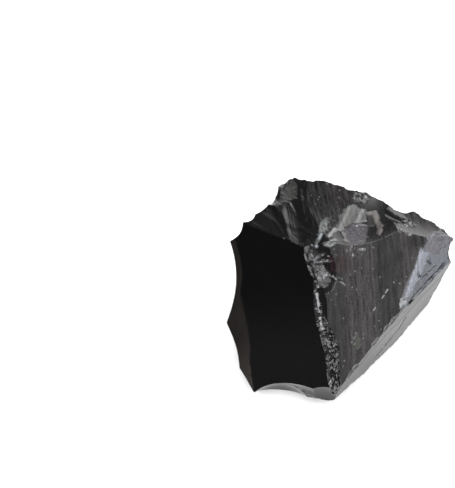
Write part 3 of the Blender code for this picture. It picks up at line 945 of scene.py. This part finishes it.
def obsidian():
    material = bpy.data.materials.new("obsidian_surface")
    material.use_nodes = True
    tree = material.node_tree
    shader = tree.nodes["Principled BSDF"]
    where = tree.nodes.new("ShaderNodeTexCoord").outputs["Object"]
    split = tree.nodes.new("ShaderNodeSeparateXYZ")
    tree.links.new(where, split.inputs[0])
    drift = math_node(tree, "MULTIPLY_ADD", split.outputs["Y"], BAND_DRIFT, split.outputs["X"])
    wobble = noise(tree, where, WOBBLE_SCALE, 1.0)
    across = math_node(tree, "MULTIPLY_ADD", wobble, WOBBLE, drift)
    drawn_out = tree.nodes.new("ShaderNodeCombineXYZ")
    tree.links.new(across, drawn_out.inputs["X"])
    tree.links.new(math_node(tree, "MULTIPLY", split.outputs["Y"], DRAWN_SHARE), drawn_out.inputs["Y"])
    tree.links.new(math_node(tree, "MULTIPLY", split.outputs["Z"], DRAWN_SHARE), drawn_out.inputs["Z"])
    lines = line_noise(tree, across, LINE_SCALE, 3.0)
    streaks = noise(tree, drawn_out.outputs[0], STREAK_SCALE, 3.0)
    grain = noise(tree, where, GRAIN_SCALE, 2.0)
    stone = attribute(tree, "stone", "Color")
    frost_and_glint = attribute(tree, "frost_and_glint", "Fac")
    rough = attribute(tree, "rough", "Fac")
    bands = attribute(tree, "bands", "Fac")

    swing = math_node(tree, "ADD", around_middle(tree, lines, 1.4), around_middle(tree, streaks, 2.0))
    swing = math_node(tree, "ADD", swing, around_middle(tree, grain, 3.4))
    banding = math_node(tree, "MAXIMUM", math_node(tree, "MULTIPLY_ADD", swing, bands, 1.0), 0.15)
    vary = tree.nodes.new("ShaderNodeVectorMath")
    vary.operation = "SCALE"
    tree.links.new(stone, vary.inputs[0])
    tree.links.new(banding, vary.inputs["Scale"])
    blend = tree.nodes.new("ShaderNodeMix")
    blend.data_type = "RGBA"
    # the colour turns towards white where the stone is frosted and where glints are painted
    frost_and_glint_mix = math_node(tree, "MULTIPLY", frost_and_glint, math_node(tree, "MULTIPLY_ADD", grain, 1.2, 0.4))
    tree.links.new(frost_and_glint_mix, blend.inputs["Factor"])
    tree.links.new(vary.outputs[0], blend.inputs["A"])
    blend.inputs["B"].default_value = (*FROST_AND_GLINT_WHITE, 1.0)
    tree.links.new(blend.outputs["Result"], shader.inputs["Base Color"])
    matt = math_node(tree, "MULTIPLY_ADD", bands, around_middle(tree, streaks, 0.4), rough)
    roughness = math_node(tree, "MULTIPLY_ADD", frost_and_glint, 0.3, matt)
    tree.links.new(math_node(tree, "MINIMUM", roughness, 0.85), shader.inputs["Roughness"])
    shader.inputs["IOR"].default_value = GLASS_IOR

    bump = tree.nodes.new("ShaderNodeBump")
    bump.inputs["Distance"].default_value = BUMP_HEIGHT
    drawn = math_node(tree, "MULTIPLY", math_node(tree, "ADD", lines, streaks), 0.5)
    lift = math_node(tree, "MULTIPLY", drawn, bands)
    grit = math_node(tree, "MULTIPLY_ADD", grain, math_node(tree, "MULTIPLY_ADD", frost_and_glint, 0.5, 0.02), lift)
    tree.links.new(grit, bump.inputs["Height"])
    tree.links.new(bump.outputs["Normal"], shader.inputs["Normal"])
    return material


def chunk():
    mesh, middle = chunk_mesh()
    made = bpy.data.objects.new("obsidian_chunk_dressed", mesh)
    bpy.context.scene.collection.objects.link(made)
    mesh.materials.append(obsidian())
    mesh.shade_smooth()
    thin = made.modifiers.new("fewer_triangles", "DECIMATE")
    thin.ratio = min(1.0, MOST_TRIANGLES / len(mesh.polygons))
    depsgraph = bpy.context.evaluated_depsgraph_get()
    final = bpy.data.meshes.new_from_object(made.evaluated_get(depsgraph))
    made.modifiers.clear()
    made.data = final
    final.set_sharp_from_angle(angle=math.radians(RIDGE_ANGLE))
    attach(made, "root")
    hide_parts("obsidian_chunk")
    return middle


CAMERA_TARGET = np.array((-32.484, 13.716, 15.0))
CAMERA_DISTANCE = 0.5
CAMERA_ELEVATION = 70.0
MM_PER_PIXEL = 0.28497
FRAME_HEIGHT = 488
SENSOR_HEIGHT = 36.0


def camera(middle):
    data = bpy.data.cameras.new("camera")
    made = bpy.data.objects.new("camera", data)
    bpy.context.scene.collection.objects.link(made)
    lift = math.radians(CAMERA_ELEVATION)
    towards = Vector((0.0, -math.cos(lift), math.sin(lift)))
    target = Vector(CAMERA_TARGET - (middle[0], middle[1], 0)) * MM
    made.location = target + towards * CAMERA_DISTANCE
    made.rotation_euler = (-towards).to_track_quat("-Z", "Y").to_euler()
    data.sensor_fit = "VERTICAL"
    data.sensor_height = SENSOR_HEIGHT
    data.lens = SENSOR_HEIGHT / 2 / (FRAME_HEIGHT / 2 * MM_PER_PIXEL * MM / CAMERA_DISTANCE)
    data.clip_start = 0.01
    data.clip_end = 20.0
    bpy.context.scene.camera = made


def softbox(name, toward, distance, size, radiance):
    """A square soft light seen from the chunk in this direction, with this brightness."""
    data = bpy.data.lights.new(name, "AREA")
    data.shape = "RECTANGLE"
    data.size, data.size_y = size
    data.energy = radiance * math.pi * size[0] * size[1]
    made = bpy.data.objects.new(name, data)
    made.location = Vector(unit(toward)) * distance
    made.rotation_euler = Vector(unit(toward)).to_track_quat("Z", "Y").to_euler()
    made.visible_camera = False
    bpy.context.scene.collection.objects.link(made)


def floor():
    mesh = bmesh.new()
    bmesh.ops.create_grid(mesh, x_segments=1, y_segments=1, size=4.0)
    data = bpy.data.meshes.new("floor")
    mesh.to_mesh(data)
    mesh.free()
    made = bpy.data.objects.new("floor", data)
    bpy.context.scene.collection.objects.link(made)
    material = bpy.data.materials.new("floor")
    material.use_nodes = True
    shader = material.node_tree.nodes["Principled BSDF"]
    shader.inputs["Base Color"].default_value = (0.88, 0.88, 0.88, 1.0)
    shader.inputs["Roughness"].default_value = 0.9
    shader.inputs["Specular IOR Level"].default_value = 0.1
    data.materials.append(material)


# Brightness of the surroundings at the horizon and from this height up.
HORIZON = 0.38
HIGH_UP = 0.10
HEIGHT_UP = 0.12

# Soft lights: name, direction, distance and size in metres, brightness.
LIGHTS = (
    ("overhead", (0.05, 0.05, 1.0), 1.0, (1.6, 1.6), 5.2),
    ("front_right", (0.68, -0.54, 0.49), 1.0, (0.5, 0.4), 0.5),
    ("low_right", (0.88, -0.47, 0.10), 1.0, (0.5, 0.2), 3.0),
    ("back", (0.2, 0.8, 0.56), 1.1, (0.7, 0.25), 0.6),
)


def world():
    made = bpy.data.worlds.new("studio")
    made.use_nodes = True
    tree = made.node_tree
    background = tree.nodes["Background"]
    where = tree.nodes.new("ShaderNodeTexCoord").outputs["Generated"]
    split = tree.nodes.new("ShaderNodeSeparateXYZ")
    tree.links.new(where, split.inputs[0])
    ramp = tree.nodes.new("ShaderNodeMapRange")
    tree.links.new(split.outputs["Z"], ramp.inputs["Value"])
    ramp.inputs["From Min"].default_value = 0.0
    ramp.inputs["From Max"].default_value = HEIGHT_UP
    ramp.inputs["To Min"].default_value = HORIZON
    ramp.inputs["To Max"].default_value = HIGH_UP
    tree.links.new(ramp.outputs["Result"], background.inputs["Color"])
    bpy.context.scene.world = made


middle = chunk()
floor()
camera(middle)
world()
for light in LIGHTS:
    softbox(*light)
bpy.context.scene.view_settings.view_transform = "Standard"
